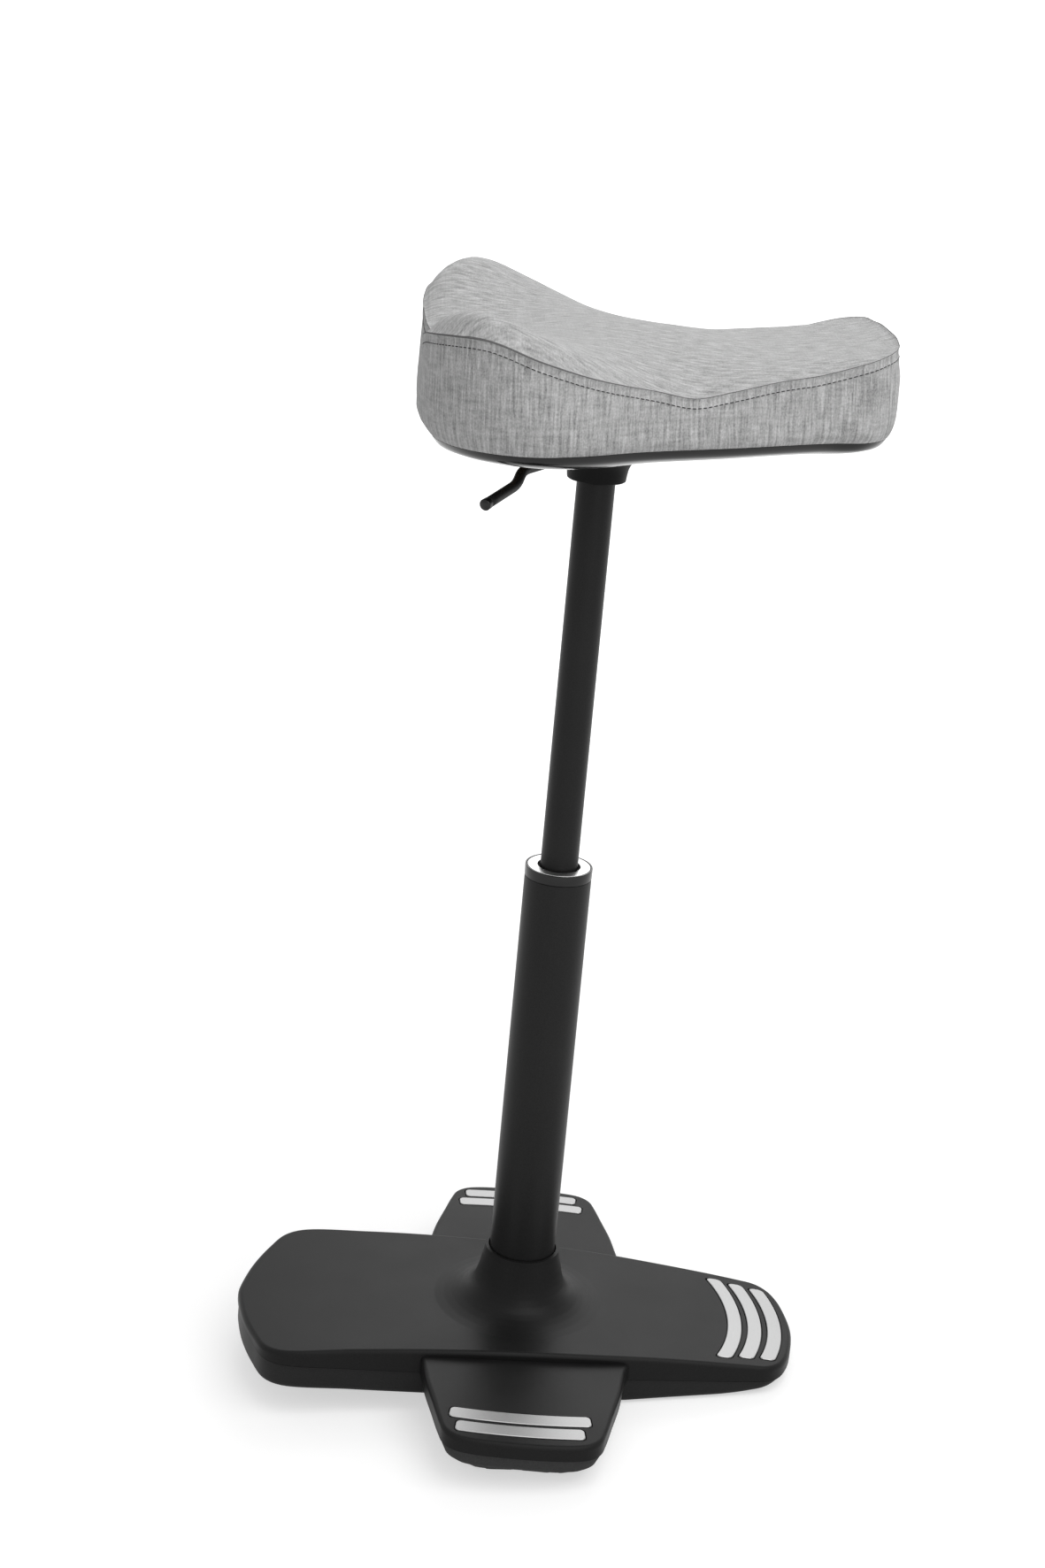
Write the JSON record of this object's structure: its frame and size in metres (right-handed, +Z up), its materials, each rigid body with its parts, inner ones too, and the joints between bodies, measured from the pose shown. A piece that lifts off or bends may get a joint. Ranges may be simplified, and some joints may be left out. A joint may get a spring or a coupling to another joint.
{
  "type": "perch stool",
  "caption": "Perch stool with a grey saddle seat on a leaning, height-adjustable gas lift over a cross-shaped black rocker base with metal grip strips.",
  "frame": {"origin": "point of the sole's flat front facet where the column's axis meets the floor", "axes": "+Z up from the floor, +X towards the base's end with three strips, the way the column leans; +Y to the stool's far side tab"},
  "size_m": [0.482, 0.38, 0.8324],
  "materials": {
    "cover_plastic": "fine leather-like grain, matt black",
    "sole_rubber": "matt black rubber with tread grooves",
    "grip_aluminium": "etched top with bright chamfered edges",
    "ring_aluminium": "satin, plain",
    "column_paint": "satin black powder coat",
    "gloss_black": "smooth glossy black",
    "guide_plastic": "smooth black",
    "bright_steel": "zinc-plated and ground steel",
    "plywood": "raw plywood",
    "seat_fabric": "light grey heathered weave with topstitched seams"
  },
  "bodies": {
    "base": {"base_cover": "cover_plastic", "base_tray": "cover_plastic", "tray_screw_1": "bright_steel", "tray_screw_2": "bright_steel", "tray_screw_3": "bright_steel", "tray_screw_4": "bright_steel", "tray_screw_5": "bright_steel", "tray_screw_6": "bright_steel", "ballast_plate": "bright_steel", "column_socket": "bright_steel", "socket_bolt_1": "bright_steel", "socket_bolt_2": "bright_steel", "socket_bolt_3": "bright_steel", "socket_bolt_4": "bright_steel", "rocker_sole": "sole_rubber", "rear_pad": "sole_rubber", "front_pad": "sole_rubber", "front_grip_1": "grip_aluminium", "front_grip_2": "grip_aluminium", "front_grip_3": "grip_aluminium", "near_grip_inner": "grip_aluminium", "near_grip_outer": "grip_aluminium", "far_grip_inner": "grip_aluminium", "far_grip_outer": "grip_aluminium", "column_tube": "column_paint", "column_cap": "gloss_black", "guide_ring": "ring_aluminium", "guide_sleeve": "guide_plastic", "end_plate": "bright_steel", "lower_thrust_washer": "bright_steel", "thrust_bearing": "bright_steel"},
    "rod": {"upper_thrust_washer": "bright_steel", "bumper": "sole_rubber", "piston_rod": "bright_steel", "piston": "guide_plastic", "rod_clip": "bright_steel"},
    "lift": {"pressure_tube": "column_paint", "rod_gland": "guide_plastic", "valve_block": "bright_steel", "seat_hub": "column_paint", "seat_plate": "column_paint", "plate_screw_1": "bright_steel", "plate_screw_2": "bright_steel", "plate_screw_3": "bright_steel", "plate_screw_4": "bright_steel", "seat_pan": "gloss_black", "seat_board": "plywood", "seat_cushion": "seat_fabric", "lever_pin": "bright_steel"},
    "lever": {"lever_rod": "column_paint", "lever_tip": "guide_plastic"},
    "valve": {"valve_pin": "bright_steel"}
  },
  "joints": [
    {"name": "seat_swivel", "type": "hinge", "parent": "base", "child": "rod", "pos_m": [0, 0, 0], "axis": [0.0879, 0, 0.9961], "continuous": true},
    {"name": "lift_slide", "type": "slide", "parent": "rod", "child": "lift", "axis": [0.0879, 0, 0.9961], "range_m": [-0.25, 0]},
    {"name": "lever_pivot", "type": "hinge", "parent": "lift", "child": "lever", "pos_m": [0.0536, -0.01536, 0.71423], "axis": [-0.8533, 0.5214, 0], "range_deg": [0, 5], "stiffness_Nm_per_rad": 1, "springref_deg": -3.44},
    {"name": "valve_press", "type": "slide", "parent": "lift", "child": "valve", "axis": [-0.0879, 0, -0.9961], "range_m": [0, 0.0016]}
  ],
  "couplings": [
    {"joint": "valve_press", "follows": "lever_pivot", "m_per_rad": 0.018}
  ]
}
